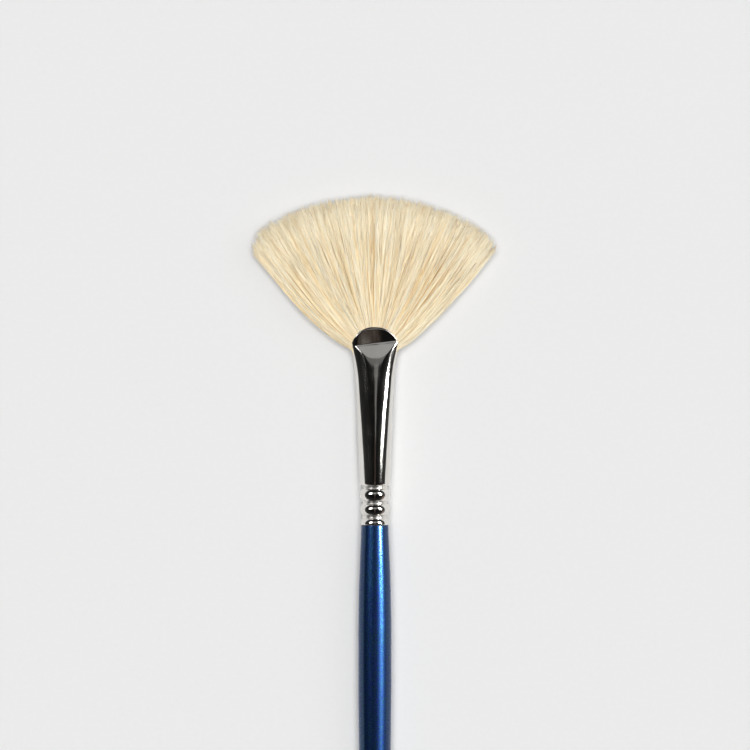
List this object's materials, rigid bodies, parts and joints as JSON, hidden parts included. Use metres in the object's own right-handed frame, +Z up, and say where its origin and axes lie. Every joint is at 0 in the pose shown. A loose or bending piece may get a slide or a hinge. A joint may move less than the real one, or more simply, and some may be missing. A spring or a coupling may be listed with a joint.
{
  "type": "fan paint brush",
  "caption": "Flat fan of pale hog bristle in a nickel ferrule on a long pearl blue handle, for blending and soft strokes.",
  "frame": {"origin": "middle of the brush's length and width, on the ground it lies on", "axes": "+Y along the brush from the butt to the bristle tips, +X across the fan, +Z up out of the fan's flat face"},
  "size_m": [0.0568, 0.3002, 0.008],
  "materials": {
    "lacquer": "pearl blue gloss lacquer on turned hardwood",
    "nickel": "bright nickel plate",
    "glue": "cured wood glue",
    "cement": "cured bristle cement",
    "thread": "undyed cotton thread",
    "bristle": "natural hog bristle with soft split tips"
  },
  "bodies": {
    "brush": {"handle": "lacquer", "ferrule": "nickel", "tenon_adhesive": "glue", "bristle_cement": "cement", "binding_thread": "thread", "bristle_root": "bristle"},
    "tuft": {"lock_front_01": "bristle", "lock_front_02": "bristle", "lock_front_03": "bristle", "lock_front_04": "bristle", "lock_front_05": "bristle", "lock_front_06": "bristle", "lock_front_07": "bristle", "lock_front_08": "bristle", "lock_front_09": "bristle", "lock_back_01": "bristle", "lock_back_02": "bristle", "lock_back_03": "bristle", "lock_back_04": "bristle", "lock_back_05": "bristle", "lock_back_06": "bristle", "lock_back_07": "bristle", "lock_back_08": "bristle"}
  },
  "joints": [
    {"name": "tuft_flex", "type": "hinge", "parent": "brush", "child": "tuft", "pos_m": [0, 0.1204, 0.004], "axis": [1, 0, 0], "range_deg": [-5, 45], "stiffness_Nm_per_rad": 0.012}
  ]
}
